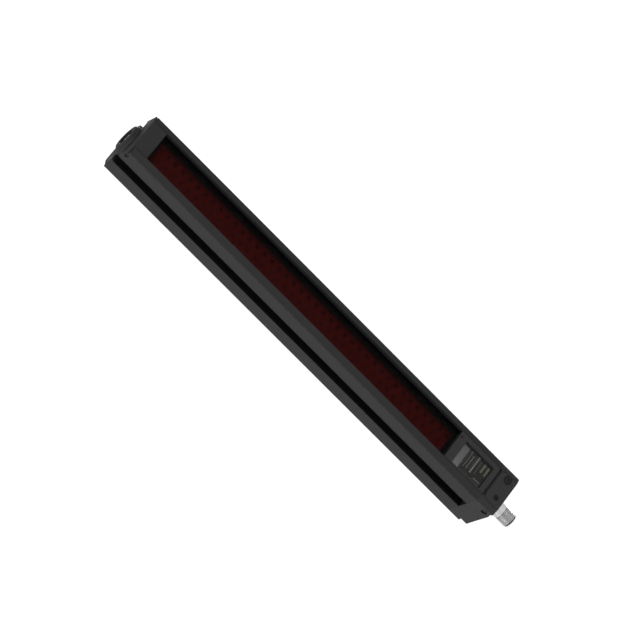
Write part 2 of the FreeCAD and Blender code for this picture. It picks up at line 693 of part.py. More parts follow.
def pin_places():
    angles = [math.radians(90 + i * 360 / PIN_COUNT) for i in range(PIN_COUNT)]
    return [(0.0, 0.0)] + [(PIN_CIRCLE_RADIUS * math.cos(a), PIN_CIRCLE_RADIUS * math.sin(a)) for a in angles]


def connector_pins():
    tip = PIN_TIP - CONNECTOR_LENGTH
    return group([rod(PIN_RADIUS, tip, SHANK_LENGTH + CONNECTOR_BOARD_GAP, x, y) for x, y in pin_places()])


def connector_lock_nut():
    nut = hexagon(NUT_FLATS, END_WALL, END_WALL + NUT_HEIGHT).rotate(V(0, 0, 0), V(0, 0, 1), 30)
    return nut.cut(shaft(CONNECTOR_RADIUS + THREAD_CLEARANCE, 0, BOTTOM_CAP_HEIGHT))


def connector_board():
    low, half = SHANK_LENGTH + CONNECTOR_BOARD_GAP, CONNECTOR_BOARD_WIDTH / 2
    front = BRACKET_HOLE_RADIUS + POST_WALL + FIT - BRACKET_SPACING / 2
    rear = back(CONTROL_BOARD_DEPTH) + BOARD_THICKNESS + BOARD_OVERHANG
    board = prism(rectangle(-half, half, front, rear), low, low + BOARD_THICKNESS)
    return board.cut(bracket_post(BRACKET_SPACING / 2, FIT))


def connector_header():
    """Plug strip that stands on the connector board and takes the lower edge of the control board."""
    low = SHANK_LENGTH + CONNECTOR_BOARD_GAP + BOARD_THICKNESS
    near, far = CONTROL_BOARD_DEPTH - BOARD_OVERHANG, CONTROL_BOARD_DEPTH + BOARD_THICKNESS + BOARD_OVERHANG
    return block(HEADER_WIDTH / 2, near, far, low, HOUSING_LOW + SPIGOT_HEIGHT)


def top_end_cap():
    low, high = LENGTH - TOP_PLATE, LENGTH
    under, over = low - CUT_CLEAR, high + CUT_CLEAR
    plate = prism(bar_outline(FIT), low, high)
    tongue = block(CHANNEL - FIT, 0, LEDGE_DEPTH - FIT, BLOCK_LOW, high)
    key = block(GROOVE - FIT, WINDOW_SETBACK, LEDGE_DEPTH - FIT, BLOCK_LOW, low)
    spigot_low = HOUSING_HIGH - TOP_SPIGOT_HEIGHT
    spigot = prism(spigot_outline(FIT, LEDGE_DEPTH + GASKET_WIDTH + FIT), spigot_low, low)
    hollow = prism(spigot_outline(FIT + SPIGOT_WALL, LEDGE_DEPTH + GASKET_WIDTH + SPIGOT_WALL),
                   spigot_low - CUT_CLEAR, low)
    bridge = block(CAVITY - FIT, LEDGE_DEPTH - FIT, LEDGE_DEPTH + GASKET_WIDTH + FIT, spigot_low, low)
    rib = rectangle(-hollow_half(), hollow_half(), -RIB_THICKNESS / 2, RIB_THICKNESS / 2)
    rib = prism(rib, spigot_low, low)
    half, post_low = PIVOT_POST_WIDTH / 2, spigot_low - PIVOT_POST_DROP
    post = prism(rectangle(-half, half, -half, half), post_low, low)
    seal = prism(gasket_outline(GASKET_WIDTH + FIT / 2), low - CUT_CLEAR, low + GASKET_THICKNESS).cut(
        cavity_shape(under, over, LEDGE_DEPTH + GASKET_WIDTH + FIT / 2))
    ear = prism(rectangle(CHANNEL, HALF + CUT_CLEAR, back(-CUT_CLEAR), back(EAR_DEPTH)), under, low + EAR_GAP)
    cuts = slot_shapes(under, over) + rear_corner_cuts(under, over) + screw_holes(under, over)
    cuts += countersunk_heads(LENGTH, -1, THREAD_CLEARANCE)
    cuts += both_sides(ear) + [shaft(SCREW_RADIUS + THREAD_CLEARANCE, post_low + PIVOT_POST_FLOOR, over)]
    return plate.cut([seal]).fuse([tongue, key, spigot, bridge]).cut(hollow).fuse([rib, post]).cut(cuts)


def top_cap_gasket():
    low = LENGTH - TOP_PLATE
    bridge = block(CAVITY - FIT / 2, LEDGE_DEPTH - CUT_CLEAR, LEDGE_DEPTH + GASKET_WIDTH + FIT,
                   low - CUT_CLEAR, low + CUT_CLEAR)
    return end_gasket(low).cut(bridge)


def top_cap_screws():
    low, high = HOUSING_HIGH - THREAD_ENGAGEMENT, LENGTH - COUNTERSINK_DEPTH
    return cap_screws(countersunk_heads(LENGTH, -1), low, high)


def pivot_boss():
    base, flange, top = LENGTH, LENGTH + FLANGE_HEIGHT, LENGTH + BOSS_HEIGHT
    body = turned([(0, base), (FLANGE_RADIUS, base), (FLANGE_RADIUS, flange), (BOSS_RADIUS, flange),
                   (BOSS_RADIUS, top - BOSS_CHAMFER), (BOSS_RADIUS - BOSS_CHAMFER, top), (RECESS_RADIUS, top),
                   (RECESS_RADIUS, base + RECESS_FLOOR), (0, base + RECESS_FLOOR)])
    return body.cut(shaft(SCREW_RADIUS + THREAD_CLEARANCE, base - CUT_CLEAR, top))


def pivot_screw():
    low = LENGTH + RECESS_FLOOR
    head = shaft(PIVOT_HEAD_RADIUS, low, low + PIVOT_HEAD_HEIGHT)
    return head.fuse(shaft(SCREW_RADIUS, LENGTH - PIVOT_SCREW_LENGTH, low))


PIECES = (
    housing_extrusion, front_window, window_gasket, aperture_mask, lens_strip, optics_carrier, beam_board,
    beam_emitters, control_board, control_components, board_link, display_bezel, bezel_gasket, display_pane,
    panel_overlay, display_module, light_bars, zone_lamps, display_carrier, panel_board, status_light_pipe,
    board_standoffs, bottom_end_cap, cap_face_plate, cap_face_screws, bottom_cap_gasket, bottom_cap_screws,
    connector_shell, connector_insert, connector_pins, connector_lock_nut, connector_board, connector_header,
    top_end_cap, top_cap_gasket, top_cap_screws, pivot_boss, pivot_screw,
)


def main():
    os.makedirs("parts", exist_ok=True)
    for piece in PIECES:
        shape = piece()
        shape.exportStep(os.path.join("parts", piece.__name__ + ".step"))
        print(piece.__name__, len(shape.Solids), round(shape.Volume, 1), shape.isValid())


main()
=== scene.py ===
import json
import math

import bmesh
import bpy
from mathutils import Matrix, Vector


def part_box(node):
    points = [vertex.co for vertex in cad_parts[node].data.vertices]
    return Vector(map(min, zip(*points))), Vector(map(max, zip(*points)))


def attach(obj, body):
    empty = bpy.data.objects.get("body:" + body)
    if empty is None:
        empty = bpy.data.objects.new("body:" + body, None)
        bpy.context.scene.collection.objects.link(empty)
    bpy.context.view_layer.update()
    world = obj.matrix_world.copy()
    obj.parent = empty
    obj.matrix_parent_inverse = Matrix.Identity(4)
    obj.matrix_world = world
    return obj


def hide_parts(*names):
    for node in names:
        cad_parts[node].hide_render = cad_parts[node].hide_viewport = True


# Sizes are millimetres, heights are above the end face of the bottom cap, and depths are behind the front.
MM = 0.001
AXIS_DEPTH = 23.1
FULL_TURN = 2 * math.pi

EDGE_ROUNDING = 0.25
FINE_ROUNDING = 0.12
HARD_EDGE = math.radians(35)
COAT_SHINE = 0.04
FILTER_SHINE = 0.02

CUT_CLEAR = 1.0

# Painted shade in the coats: the side slots, the catches at the foot, the notch at the top, the channel in
# front of the window and the display recess wall are painted darker, at SHADE of the tone.
HALF_WIDTH = 18.0
SIDE_SINK = 0.6
SIDE_FADE = 0.3
SLOT_HALF = 7.5
SHADE = 0.8
CATCH = (-20.8, -12.4)
CATCH_TOP = 7.7
NOTCH = (-17.0, -12.5)
NOTCH_LOW = 368.5
CHANNEL_EDGE = 12.65
WINDOW_FACE = -18.9
CAP_TOP = 16.3
RECESS_WALL = (8.65, 8.95)
RECESS_BACK = -20.3
RECESS_HEIGHTS = (21.0, 49.1)
END_EDGE = -19.1
NO_EDGE = -1000.0
TURNING_MARKS = 0.12

# Painted shade on the red mask: darker towards its right edge, partly its own dark margin and partly shade of
# the recess wall, and a painted shadow of the top block towards its top.
MASK_FADE = 7.0
MASK_EDGE = 9.1
MASK_TOP = 354.0
MASK_TOP_FADE = 3.0
MASK_RED = (0.25, 0.02, 0.018)
MASK_DARK = (0.03, 0.006, 0.006)
# Painted highlight on the display face: lighter towards its left end.
DISPLAY_MIDDLE = 0.0
DISPLAY_HALF = 9.0

BEAM_PITCH = 7.5
EMITTER_SIZE = 3.0
LENS_RADIUS = 2.5
LENS_RISE = 0.6
# Shares of a lens's radius and rise, from its crown to its back
LENS_CURVE = ((0, 1), (0.5, 0.8), (0.85, 0.35), (1, 0), (1, -1), (0, -1))
POCKET_RADIUS = 1.6
POCKET_RISE = 0.05
WINDOW_ROUNDING = 0.2

FLANGE_RADIUS = 11.9
FLANGE_HEIGHT = 2.1
BOSS_RADIUS = 10.6
BOSS_FOOT = (0.15, 0.2)
BOSS_CHAMFER = 0.6
BOSS_RECESS = 6.4
BOSS_RECESS_CHAMFER = 0.5
BOSS_FLOOR = 0.8
BOSS_ROUNDING = 0.15
PIVOT_SHANK = 1.5
PIVOT_HEAD = 2.8
PIVOT_SOCKET = 1.44
PIVOT_SOCKET_DEPTH = 1.4
PIVOT_ROUNDING = 0.1

# Heads of the face plate's screws, from their middle to their shank: radius, height above the plate
PAN_HEAD = ((0, 0.95), (1.6, 0.85), (2.5, 0.55), (2.95, 0.1), (3.1, -0.1), (3.1, -0.5), (1.5, -0.5))
SUNK_HEAD = ((0, -0.3), (2.0, -0.25), (2.2, -0.45), (2.2, -1.2), (1.0, -1.2))
PAN_RADIUS = 3.1
SUNK_RADIUS = 2.2
SUNK_HEIGHT = 6.7
FACE_SCREW_LENGTH = 6.0
CROSS_SIZE = 1.1
CROSS_HEIGHTS = (0.65, 1.2)
SUNK_SOCKET = 0.9
SUNK_SOCKET_FLOOR = -1.1

THREAD_PITCH = 1.0
THREAD_DEPTH = 0.5
THREAD_TOP = -10.4
CONNECTOR_RADIUS = 6.0
THREAD_RUN_IN = 0.4
THREAD_OVERLAP = 0.1
THREAD_SHARE = 0.46
LEAD_CHAMFER = (0.4, 0.5)
SOCKET_RADIUS = 4.6
SOCKET_CHAMFER = (0.15, 0.2)
SOCKET_DEPTH = 8.9
COLLAR_RADIUS = 5.75
NUT_RADIUS = 8.0
NUT_HEIGHT = 3.0
NUT_ROUNDING = 0.2

PRINT_DEPTH = 2.66
PRINT_SINK = 0.1
PANE_GAP = 0.06
ZONES = 8
LAMP_SIZE = 0.9
DIGIT_SIZE = 1.3
DIGIT_HEIGHT = 34.5
DIGIT_RISE = 0.03
DIGIT_SINK = 0.04
# Dashes over and under the zone lamps: half width, low, high
UPPER_DASH = (0.45, 39.4, 40.3)
LOWER_DASH = (0.4, 29.8, 30.3)
# Printed lines: left, right, low, high
LEGEND_LINES = ((-5.8, 5.6, 37.0, 37.6), (-7.5, -7.0, 22.0, 28.6))
# Black lines of painted shade along the display recess's left edge and under the display: the left line's
# edges, the lower line's right end, the left line's foot, and the drops of the lower line below the display.
SHADE_LINE_LEFT = (-9.2, -8.7)
SHADE_LINE_RIGHT = 8.5
SHADE_LINE_FOOT = 21.2
SHADE_LINE_DROPS = (0.9, 0.15)

FLOOR_SIZE = 8.0
FLOOR_GLOW = 0.88
FLOOR_TONE = 0.5
SURROUND = 0.06
LAMP_TARGET = (0, 0, 0.18)
# Lamps by name: place in metres, size in metres, power in watts
LAMPS = {
    "key": ((-4.6, -0.2, 0.35), 2.0, 165.0),
    "fill": ((1.2, -4.4, 0.25), 2.4, 100.0),
    "back": ((3.6, 3.4, 0.1), 1.6, 200.0),
}
CAMERA_PLACE = (-1510.2, -2865.1, 922.0)
CAMERA_TURN = (72.154, 43.558, -40.399)
CAMERA_LENS = 263.2
SENSOR = 36.0
# The Mix node's sockets for colours: share, first and second colour
COLOUR_MIX_INPUTS = (0, 6, 7)
COLOUR_MIX_OUTPUT = 2

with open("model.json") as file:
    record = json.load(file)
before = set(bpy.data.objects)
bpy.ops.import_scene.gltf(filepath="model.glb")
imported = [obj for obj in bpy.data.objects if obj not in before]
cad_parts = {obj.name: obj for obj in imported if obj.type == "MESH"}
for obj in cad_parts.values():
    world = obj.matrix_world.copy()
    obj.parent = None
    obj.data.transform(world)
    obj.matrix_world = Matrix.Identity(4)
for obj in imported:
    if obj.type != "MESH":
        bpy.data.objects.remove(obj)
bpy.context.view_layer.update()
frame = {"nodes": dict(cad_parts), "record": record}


def place(x, depth, height):
    """A point in metres from its offset, its depth behind the front and its height."""
    return Vector((x, depth - AXIS_DEPTH, height)) * MM


def span(node):
    """Lowest and highest corner of a CAD node in millimetres."""
    low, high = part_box(node)
    return low / MM, high / MM


# Shader helpers


class Value:
    """A socket's number with arithmetic, so that shader maths reads as an expression."""

    def __init__(self, finish, socket):
        self.finish, self.socket = finish, socket

    def math(self, operation, *others):
        return self.finish.node("ShaderNodeMath", [self, *others], operation=operation)

    def __add__(self, other):
        return self.math("ADD", other)

    def __mul__(self, other):
        return self.math("MULTIPLY", other)

    def __rsub__(self, other):
        return self.finish.node("ShaderNodeMath", [other, self], operation="SUBTRACT")

    def over(self, edge, width=0.05):
        """0 below edge - width, 1 above edge + width, and even between."""
        inputs = {"Value": self, "From Min": edge - width, "From Max": edge + width}
        return self.finish.node("ShaderNodeMapRange", inputs)

    def within(self, low, high):
        """1 between two edges and 0 outside them."""
        return self.over(low) * (1 - self.over(high))


class Finish:
    """A material built on the Principled shader."""

    def __init__(self, name, **constants):
        self.material = bpy.data.materials.new(name)
        self.material.use_nodes = True
        self.tree = self.material.node_tree
        self.shader = self.tree.nodes["Principled BSDF"]
        for socket, value in constants.items():
            self.feed(socket.replace("_", " "), value)

    def feed(self, socket, value):
        self.set_input(self.shader.inputs[socket], value)
        return self

    def set_input(self, socket, value):
        if isinstance(value, Value):
            self.tree.links.new(value.socket, socket)
        elif socket.type == "RGBA":
            socket.default_value = (*value, 1.0)
        else:
            socket.default_value = value

    def node(self, kind, inputs=(), output=0, **settings):
        made = self.tree.nodes.new(kind)
        for name, setting in settings.items():
            setattr(made, name, setting)
        pairs = inputs.items() if isinstance(inputs, dict) else enumerate(inputs)
        for name, value in pairs:
            self.set_input(made.inputs[name], value)
        return Value(self, made.outputs[output])

    def place_on(self, scale=(1, 1, 1)):
        """Object coordinates, in millimetres, stretched by scale."""
        where = self.node("ShaderNodeTexCoord", output="Object")
        return self.node("ShaderNodeMapping", {"Vector": where, "Scale": tuple(s / MM for s in scale)})

    def xyz(self):
        """The three object coordinates, in millimetres."""
        return [self.node("ShaderNodeSeparateXYZ", [self.place_on()], output=i) for i in range(3)]

    def noise(self, per_mm, stretch=(1, 1, 1), detail=3.0):
        """Noise from 0 to 1 with this many grains in a millimetre."""
        inputs = {"Vector": self.place_on(stretch), "Scale": per_mm, "Detail": detail}
        return self.node("ShaderNodeTexNoise", inputs)

    def bump(self, height, strength, distance):
        """Raises the surface by height, of at most this distance in millimetres."""
        inputs = {"Height": height, "Strength": strength, "Distance": distance * MM}
        return self.feed("Normal", self.node("ShaderNodeBump", inputs))

    def between(self, dark, light, share):
        """A colour between two, by a value from 0 to 1."""
        inputs = dict(zip(COLOUR_MIX_INPUTS, (share, dark, light)))
        return self.node("ShaderNodeMix", inputs, COLOUR_MIX_OUTPUT, data_type="RGBA")


def grey(level):
    return (level, level, level)


def powder_coat(name, tone, roughness=0.5):
    """Matt black coating with a fine orange peel, with painted shade in the slots, catches, top notch and
    front channel.
    """
    finish = Finish(name, Roughness=roughness, Specular_IOR_Level=COAT_SHINE)
    peel, cloud = finish.noise(2.2, detail=2.0), finish.noise(0.05)
    x, y, z = finish.xyz()
    x = x.math("ABSOLUTE")
    # Painted shade: the slots, catches, top notch and front channel are painted at SHADE of the coat's tone.
    catch, notch = y.within(*CATCH) * (1 - z.over(CATCH_TOP)), y.within(*NOTCH) * z.over(NOTCH_LOW)
    sunk = y.within(-SLOT_HALF, SLOT_HALF).math("MAXIMUM", catch).math("MAXIMUM", notch)
    sunk = sunk * (1 - x.over(HALF_WIDTH - SIDE_SINK, SIDE_FADE))
    channel = (1 - x.over(CHANNEL_EDGE)) * (1 - y.over(WINDOW_FACE)) * z.over(CAP_TOP)
    coat = finish.between(grey(tone * 0.9), grey(tone * 1.1), cloud)
    finish.feed("Base Color", finish.between(coat, grey(tone * SHADE), sunk.math("MAXIMUM", channel)))
    return finish.bump(peel, 0.25, 0.04)


def dull(name, colour, roughness):
    """Smooth plastic with little shine."""
    return Finish(name, Roughness=roughness, Specular_IOR_Level=COAT_SHINE, Base_Color=colour)


def moulded(name, colour, roughness=0.5, grain=0.2):
    """Moulded plastic with a light grain."""
    finish = Finish(name, Roughness=roughness, Base_Color=colour, Specular_IOR_Level=COAT_SHINE)
    return finish.bump(finish.noise(4.0, detail=2.0), grain, 0.02)


def panel_coat(name, tone):
    """Moulded panel with painted shade on its deep recess wall."""
    finish = moulded(name, grey(tone), 0.55, 0.25)
    x, y, z = finish.xyz()
    wall = x.within(*RECESS_WALL) * z.within(*RECESS_HEIGHTS) * (1 - y.over(RECESS_BACK))
    return finish.feed("Base Color", finish.between(grey(tone), grey(tone * SHADE), wall))


def plated(name, colour, roughness, end=NO_EDGE):
    """Plated metal with faint turning marks round the bar's axis, dull and dark below a height."""
    finish = Finish(name, Metallic=1.0)
    finish.feed("Base Color", finish.between(grey(0.03), colour, finish.xyz()[2].over(end)))
    marks = finish.noise(0.8, stretch=(0.2, 0.2, 6.0))
    finish.feed("Roughness", marks * TURNING_MARKS + roughness)
    return finish


def window_filter():
    """Smoked filter: the red optics behind it show through."""
    finish = Finish("window_filter", Roughness=0.15, Alpha=0.3, Specular_IOR_Level=FILTER_SHINE)
    return finish.feed("Base Color", (0.010, 0.008, 0.008))


def shaded_mask():
    """Deep red mask that darkens towards its right edge, partly its own dark margin and partly painted shade
    of the recess wall, and towards the top of the window, a painted shadow of the top block.
    """
    finish = Finish("mask_plastic", Roughness=0.6, Specular_IOR_Level=COAT_SHINE)
    x, _, z = finish.xyz()
    # Painted shade and shadow: darker by x towards the right edge and by height towards the top.
    edge = x.over(MASK_FADE, MASK_EDGE - MASK_FADE).math("MAXIMUM", z.over(MASK_TOP, MASK_TOP_FADE))
    return finish.feed("Base Color", finish.between(MASK_RED, MASK_DARK, edge))


def painted_highlight_face():
    """Display face with a painted highlight, brighter towards its left end."""
    finish = Finish("display_face", Roughness=0.3)
    # Painted highlight: the face is painted lighter towards its left end; glow here is this highlight, not
    # light from the display.
    glow = finish.xyz()[0].over(DISPLAY_MIDDLE, DISPLAY_HALF)
    return finish.feed("Base Color", finish.between((0.27, 0.285, 0.27), (0.14, 0.15, 0.14), glow))


def clear_pane():
    finish = Finish("display_clear", Roughness=0.12, Alpha=0.08)
    return finish.feed("Base Color", grey(0.05))


def circuit_board():
    """Green solder mask with copper tracks under it."""
    finish = Finish("board_laminate", Roughness=0.35)
    inputs = {"Vector": finish.place_on(), "Scale": 0.4, "Mortar Size": 0.03}
    tracks = finish.node("ShaderNodeTexBrick", inputs, output="Fac")
    return finish.feed("Base Color", finish.between((0.012, 0.10, 0.035), (0.03, 0.17, 0.06), tracks))


FINISHES = {
    "housing_paint": powder_coat("housing_paint", 0.051),
    "cap_paint": powder_coat("cap_paint", 0.062),
    "cap_plastic": moulded("cap_plastic", grey(0.064), 0.6, 0.3),
    "panel_plastic": panel_coat("panel_plastic", 0.078),
    "window_filter": window_filter(),
    "seal_rubber": moulded("seal_rubber", grey(0.02), 0.7),
    "mask_plastic": shaded_mask(),
    "lens_plastic": dull("lens_plastic", (0.10, 0.006, 0.008), 0.4),
    "carrier_plastic": moulded("carrier_plastic", grey(0.02), 0.5),
    "board_laminate": circuit_board(),
    "emitter_epoxy": Finish("emitter_epoxy", Roughness=0.1, Base_Color=(0.25, 0.28, 0.38)),
    "component_plastic": moulded("component_plastic", (0.03, 0.03, 0.034), 0.4),
    "header_plastic": moulded("header_plastic", (0.55, 0.5, 0.4), 0.5),
    "display_clear": clear_pane(),
    "overlay_film": moulded("overlay_film", (0.056, 0.057, 0.053), 0.4),
    "display_face": painted_highlight_face(),
    "bar_diffuser": Finish("bar_diffuser", Roughness=0.35, Base_Color=(0.20, 0.20, 0.12)),
    "lamp_diffuser": Finish("lamp_diffuser", Roughness=0.35, Base_Color=(0.55, 0.55, 0.53)),
    "status_diffuser": dull("status_diffuser", (0.02, 0.004, 0.03), 0.5),
    "spacer_plastic": moulded("spacer_plastic", (0.55, 0.55, 0.52), 0.5),
    "screw_black": moulded("screw_black", grey(0.035), 0.35, 0.1),
    "screw_steel": plated("screw_steel", grey(0.12), 0.4),
    "connector_nickel": plated("connector_nickel", grey(0.5), 0.24, END_EDGE),
    "insert_plastic": moulded("insert_plastic", grey(0.012), 0.5),
    "pin_gold": plated("pin_gold", (0.72, 0.50, 0.20), 0.2),
    "mask_pocket": dull("mask_pocket", (0.16, 0.012, 0.012), 0.6),
    "shade_line_black": Finish("shade_line_black", Roughness=0.5, Base_Color=grey(0.008)),
    "print_white": Finish("print_white", Roughness=0.5, Base_Color=grey(0.30)),
}
SLOTS = {part["node"]: part["material_slot"] for part in frame["record"]["subparts"]}
for name, node in frame["nodes"].items():
    node.data.materials.clear()
    node.data.materials.append(FINISHES[SLOTS[name]].material)


# Mesh helpers


def rounded(mesh, width, segments=2):
    """Rounds every hard edge of a mesh."""
    hard = [e for e in mesh.edges if e.is_manifold and e.calc_face_angle(0) > HARD_EDGE]
    bmesh.ops.bevel(mesh, geom=hard, offset=width * MM, offset_type="OFFSET", segments=segments, profile=0.5,
                    affect="EDGES", clamp_overlap=True, material=-1)
    return mesh


def show(name, mesh, *nodes, slot=None, finish=None):
    """Shows a mesh as a piece of the bar in place of these CAD nodes."""
    data = bpy.data.meshes.new(name)
    mesh.to_mesh(data)
    mesh.free()
    data.shade_smooth()
    data.set_sharp_from_angle(angle=HARD_EDGE)
    slot = slot or SLOTS[nodes[0]]
    data.materials.append(FINISHES[finish or slot].material)
    piece = bpy.data.objects.new(name, data)
    bpy.context.scene.collection.objects.link(piece)
    piece.modifiers.new("even_faces", "WEIGHTED_NORMAL").keep_sharp = True
    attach(piece, "root")
    if nodes:
        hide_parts(*nodes)
    return piece


def merged(node):
    """A copy of a CAD node with its loose triangles joined into whole faces."""
    mesh = bmesh.new()
    mesh.from_mesh(frame["nodes"][node].data)
    bmesh.ops.remove_doubles(mesh, verts=mesh.verts, dist=0.002 * MM)
    bmesh.ops.dissolve_limit(mesh, angle_limit=math.radians(0.5), verts=mesh.verts, edges=mesh.edges)
    return mesh


def lathe(profile, steps=96):
    """Solid of revolution about the bar's axis, from (radius, height) points that start and end on it."""
    mesh = bmesh.new()
    ring = [mesh.verts.new((radius * MM, 0, height * MM)) for radius, height in profile]
    edges = [mesh.edges.new(pair) for pair in zip(ring, ring[1:])]
    bmesh.ops.spin(mesh, geom=ring + edges, cent=(0, 0, 0), axis=(0, 0, 1), angle=FULL_TURN, steps=steps,
                   use_merge=True)
    bmesh.ops.remove_doubles(mesh, verts=mesh.verts, dist=0.001 * MM)
    bmesh.ops.recalc_face_normals(mesh, faces=mesh.faces)
    return mesh


def hexagon(radius, low, high):
    """A six-sided prism round the bar's axis, with its corners at a radius."""
    return lathe([(0, low), (radius, low), (radius, high), (0, high)], 6)


def box(low, high):
    """A box between two corners (x, depth, height)."""
    low, high = place(*low), place(*high)
    mesh = bmesh.new()
    bmesh.ops.create_cube(mesh, size=1.0)
    bmesh.ops.scale(mesh, vec=high - low, verts=mesh.verts)
    bmesh.ops.translate(mesh, vec=(low + high) / 2, verts=mesh.verts)
    return mesh


def joined(*meshes):
    """One mesh of several, which are used up."""
    whole = bmesh.new()
    for mesh in meshes:
        data = bpy.data.meshes.new("joined")
        mesh.to_mesh(data)
        mesh.free()
        whole.from_mesh(data)
        bpy.data.meshes.remove(data)
    return whole


def facing_front(mesh, x, depth, height):
    """Turns a mesh that points up the bar to point out of its front, and moves it to a place there."""
    bmesh.ops.rotate(mesh, cent=(0, 0, 0), matrix=Matrix.Rotation(math.pi / 2, 3, "X"), verts=mesh.verts)
    bmesh.ops.translate(mesh, vec=place(x, depth, height), verts=mesh.verts)
    return mesh


def carved(mesh, cutter):
    """A mesh with another one cut out of it."""
    things = []
    for part in (mesh, cutter):
        data = bpy.data.meshes.new("carving")
        part.to_mesh(data)
        part.free()
        thing = bpy.data.objects.new("carving", data)
        bpy.context.scene.collection.objects.link(thing)
        things.append(thing)
    cut = things[0].modifiers.new("cut", "BOOLEAN")
    cut.operation, cut.object, cut.solver = "DIFFERENCE", things[1], "EXACT"
    result = bmesh.new()
    result.from_object(things[0], bpy.context.evaluated_depsgraph_get())
    for thing in things:
        bpy.data.meshes.remove(thing.data)
    return result


# Housing, caps and window


def case():
    for node in ("housing_extrusion", "bottom_end_cap", "top_end_cap", "cap_face_plate", "display_bezel"):
        width = EDGE_ROUNDING if node == "housing_extrusion" else FINE_ROUNDING
        finish = "cap_paint" if node == "bottom_end_cap" else None
        show(node + "_edged", rounded(merged(node), width), node, finish=finish)


def pivot_boss():
    """The stepped boss on the top cap and the recessed socket screw in it."""
    low, high = span("pivot_boss")
    base, top, flange, floor = low.z, high.z, low.z + FLANGE_HEIGHT, low.z + BOSS_FLOOR
    foot_out, foot_up = BOSS_FOOT
    boss = lathe([(0, base), (FLANGE_RADIUS, base), (FLANGE_RADIUS, flange), (BOSS_RADIUS + foot_out, flange),
                  (BOSS_RADIUS, flange + foot_up), (BOSS_RADIUS, top - BOSS_CHAMFER),
                  (BOSS_RADIUS - BOSS_CHAMFER, top), (BOSS_RECESS + BOSS_RECESS_CHAMFER, top),
                  (BOSS_RECESS, top - BOSS_RECESS_CHAMFER), (BOSS_RECESS, floor), (0, floor)])
    show("pivot_boss_turned", rounded(boss, BOSS_ROUNDING), "pivot_boss")
    low, high = span("pivot_screw")
    head = lathe([(0, low.z), (PIVOT_SHANK, low.z), (PIVOT_SHANK, floor), (PIVOT_HEAD, floor),
                  (PIVOT_HEAD, high.z), (0, high.z)], 48)
    socket = hexagon(PIVOT_SOCKET, high.z - PIVOT_SOCKET_DEPTH, high.z + CUT_CLEAR)
    show("pivot_screw_turned", rounded(carved(head, socket), PIVOT_ROUNDING), "pivot_screw")


def front_window():
    low, high = span("front_window")
    pane = box((low.x, low.y + AXIS_DEPTH, low.z), (high.x, high.y + AXIS_DEPTH, high.z))
    show("front_window_polished", rounded(pane, WINDOW_ROUNDING), "front_window")


def beam_rows():
    """A domed lens in front of every beam, and a plain round pocket beside each, half a pitch along."""
    low, high = span("beam_emitters")
    front, _ = span("lens_strip")
    count = round((high.z - low.z - EMITTER_SIZE) / BEAM_PITCH) + 1
    beam_x, first = (low.x + high.x) / 2, low.z + EMITTER_SIZE / 2
    lens_depth, mask_depth = front.y + AXIS_DEPTH, span("aperture_mask")[0].y + AXIS_DEPTH
    dome = [(LENS_RADIUS * out, LENS_RISE * up) for out, up in LENS_CURVE]
    disc = [(0, POCKET_RISE), (POCKET_RADIUS, POCKET_RISE), (POCKET_RADIUS, 0), (0, 0)]
    lenses, pockets = [], []
    for i in range(count):
        height = first + i * BEAM_PITCH
        lenses.append(facing_front(lathe(dome, 20), beam_x, lens_depth, height))
        pockets.append(facing_front(lathe(disc, 16), -beam_x, mask_depth, height + BEAM_PITCH / 2))
    show("lens_domes", joined(*lenses), slot=SLOTS["lens_strip"])
    show("mask_pockets", joined(*pockets[:-1]), slot=SLOTS["aperture_mask"], finish="mask_pocket")


def cross_driven(head, size, floor, top):
    """A screw head, centred on the axis, with a cross drive sunk into it down to a floor."""
    for across, along in ((size, size / 4), (size / 4, size)):
        head = carved(head, box((-across, AXIS_DEPTH - along, floor), (across, AXIS_DEPTH + along, top)))
    return head


# Display panel


def panel():
    """Legend marks on the overlay: a number over each zone lamp and printed lines, and black lines of painted
    shade along the recess's left edge and under the display.
    """
    low, high = span("zone_lamps")
    pitch = (high.x - low.x - LAMP_SIZE) / (ZONES - 1)
    places = [low.x + LAMP_SIZE / 2 + i * pitch for i in range(ZONES)]
    dashes = [dash(x, *UPPER_DASH) for x in places] + [dash(x, *LOWER_DASH) for x in places[1:-1]]
    lines = [mark(*line) for line in LEGEND_LINES]
    show("panel_print", joined(*dashes, *lines), slot="overlay_film", finish="print_white")
    # Painted shade: black lines along the recess's left edge and just under the display.
    shade_line_low, shade_line_high = (span("display_module")[0].z - drop for drop in SHADE_LINE_DROPS)
    shade_lines = [mark(SHADE_LINE_LEFT[0], SHADE_LINE_RIGHT, shade_line_low, shade_line_high),
              mark(*SHADE_LINE_LEFT, SHADE_LINE_FOOT, shade_line_low)]
    show("panel_shade_lines", joined(*shade_lines), slot="overlay_film", finish="shade_line_black")
    digits = [digit(str(i + 1), DIGIT_SIZE, x, DIGIT_HEIGHT) for i, x in enumerate(places)]
    show("zone_numbers", joined(*digits), slot="overlay_film", finish="print_white")


def mark(left, right, low, high):
    """A block on the overlay, for the printed marks and for the lines of painted shade."""
    return box((left, PRINT_DEPTH, low), (right, PRINT_DEPTH + PRINT_SINK, high))


def dash(x, half, low, high):
    """A printed block centred on x."""
    return mark(x - half, x + half, low, high)


def digit(text, size, x, height):
    """A printed number, centred on x with its foot at a height."""
    curve = bpy.data.curves.new("digit", "FONT")
    curve.body, curve.size, curve.align_x, curve.extrude = text, size * MM, "CENTER", DIGIT_RISE * MM
    letter = bpy.data.objects.new("digit", curve)
    bpy.context.scene.collection.objects.link(letter)
    bpy.context.view_layer.update()
    mesh = bmesh.new()
    mesh.from_mesh(letter.to_mesh())
    letter.to_mesh_clear()
    bpy.data.objects.remove(letter)
    return facing_front(mesh, x, PRINT_DEPTH + DIGIT_SINK, height)


